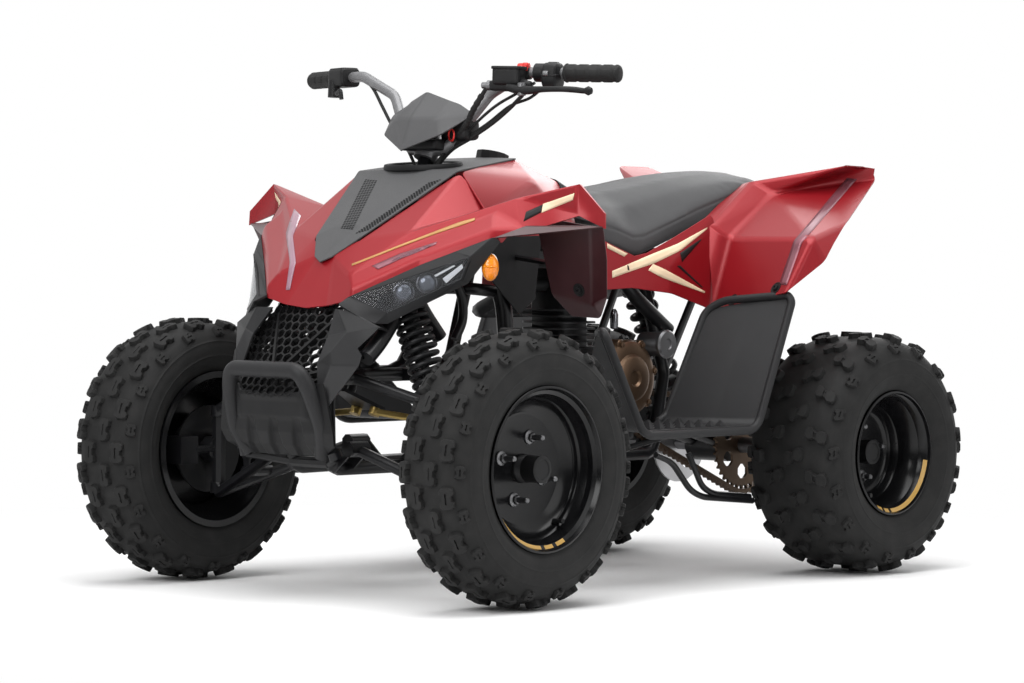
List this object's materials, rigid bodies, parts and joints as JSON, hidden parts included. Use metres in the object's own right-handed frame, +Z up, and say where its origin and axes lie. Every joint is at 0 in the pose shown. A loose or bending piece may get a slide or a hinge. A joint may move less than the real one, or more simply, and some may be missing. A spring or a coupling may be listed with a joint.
{
  "type": "quad bike",
  "caption": "Sport quad bike: faceted fairings, long seat, wide knobbly tyres, steered front wheels on double arms, chain-driven rear axle.",
  "frame": {"origin": "on the ground at the centre of the quad bike's footprint box", "axes": "+X forward, +Y to the rider's left, +Z up"},
  "size_m": [1.656, 1.065, 1.0443],
  "materials": {
    "bare_steel": "satin",
    "black_plastic": "matte black",
    "dark_red_plastic": "dark maroon plastic",
    "engine_alloy": "bronze brown",
    "engine_black": "satin black",
    "frame_paint": "satin black",
    "grey_plastic": "matte dark grey",
    "grip_rubber": "matte",
    "lens_clear": "clear",
    "lens_orange": "orange",
    "lens_red": "red",
    "red_plastic": "satin metallic red paint",
    "rim_paint": "gloss black with a gold line",
    "seat_cover": "dark grey vinyl",
    "sprocket_steel": "brown",
    "tyre_rubber": "matte",
    "zinc_steel": "yellow zinc"
  },
  "bodies": {
    "root": {"airbox": "black_plastic", "bumper_hoop": "frame_paint", "bumper_plate": "black_plastic", "chain": "sprocket_steel", "engine_block": "engine_black", "engine_cover": "engine_alloy", "engine_cylinder": "engine_black", "exhaust": "engine_black", "footboards": "grey_plastic", "frame_left": "frame_paint", "frame_middle": "frame_paint", "frame_right": "frame_paint", "front_fairing": "red_plastic", "front_flaps": "dark_red_plastic", "front_shocks": "frame_paint", "fuel_cap": "black_plastic", "grille": "black_plastic", "headlight_lenses": "lens_clear", "headlights": "grey_plastic", "hood_cover": "grey_plastic", "indicators": "lens_orange", "lower_arms": "frame_paint", "rear_fender": "red_plastic", "rear_shock": "frame_paint", "seat": "seat_cover", "side_panels": "red_plastic", "stays_left": "frame_paint", "stays_right": "frame_paint", "swingarm": "frame_paint", "tail_lamp": "lens_red", "tank_cover": "red_plastic", "upper_arms": "frame_paint"},
    "steering": {"steering_stem": "frame_paint", "handlebar": "bare_steel", "grips": "grip_rubber", "cowl": "grey_plastic", "switch_housings": "black_plastic", "levers": "bare_steel", "reservoir": "black_plastic"},
    "knuckle_left": {"knuckle_left": "frame_paint"},
    "knuckle_right": {"knuckle_right": "frame_paint"},
    "tie_rod_left": {"tie_rod_left": "zinc_steel"},
    "tie_rod_right": {"tie_rod_right": "zinc_steel"},
    "wheel_front_left": {"front_tyre_left": "tyre_rubber", "front_rim_left": "rim_paint", "front_hub_left": "bare_steel"},
    "wheel_front_right": {"front_tyre_right": "tyre_rubber", "front_rim_right": "rim_paint", "front_hub_right": "bare_steel"},
    "rear_axle": {"rear_axle": "bare_steel", "sprocket": "sprocket_steel", "rear_disc": "bare_steel", "rear_tyres": "tyre_rubber", "rear_rims": "rim_paint"}
  },
  "joints": [
    {"name": "steering", "type": "hinge", "parent": "root", "child": "steering", "pos_m": [0.565, 0, 0.388], "axis": [-0.4226, 0, 0.9063], "range_deg": [-38, 38]},
    {"name": "kingpin_left", "type": "hinge", "parent": "root", "child": "knuckle_left", "pos_m": [0.561, 0.3655, 0.267], "axis": [0, 0, 1], "range_deg": [-30.1, 30.1]},
    {"name": "tie_rod_left", "type": "hinge", "parent": "steering", "child": "tie_rod_left", "pos_m": [0.51062, 0.026, 0.36264], "axis": [-0.4226, 0, 0.9063], "range_deg": [-39, 39]},
    {"name": "wheel_front_left", "type": "hinge", "parent": "knuckle_left", "child": "wheel_front_left", "pos_m": [0.561, 0.4455, 0.267], "axis": [0, 1, 0], "continuous": true},
    {"name": "kingpin_right", "type": "hinge", "parent": "root", "child": "knuckle_right", "pos_m": [0.561, -0.3655, 0.267], "axis": [0, 0, 1], "range_deg": [-30.1, 30.1]},
    {"name": "tie_rod_right", "type": "hinge", "parent": "steering", "child": "tie_rod_right", "pos_m": [0.51062, -0.026, 0.36264], "axis": [-0.4226, 0, 0.9063], "range_deg": [-39, 39]},
    {"name": "wheel_front_right", "type": "hinge", "parent": "knuckle_right", "child": "wheel_front_right", "pos_m": [0.561, -0.4455, 0.267], "axis": [0, 1, 0], "continuous": true},
    {"name": "rear_axle", "type": "hinge", "parent": "root", "child": "rear_axle", "pos_m": [-0.574, 0, 0.254], "axis": [0, 1, 0], "continuous": true}
  ],
  "couplings": [
    {"joint": "kingpin_left", "follows": "steering", "ratio": 0.78},
    {"joint": "tie_rod_left", "follows": "steering", "ratio": -1},
    {"joint": "kingpin_right", "follows": "steering", "ratio": 0.78},
    {"joint": "tie_rod_right", "follows": "steering", "ratio": -1}
  ]
}
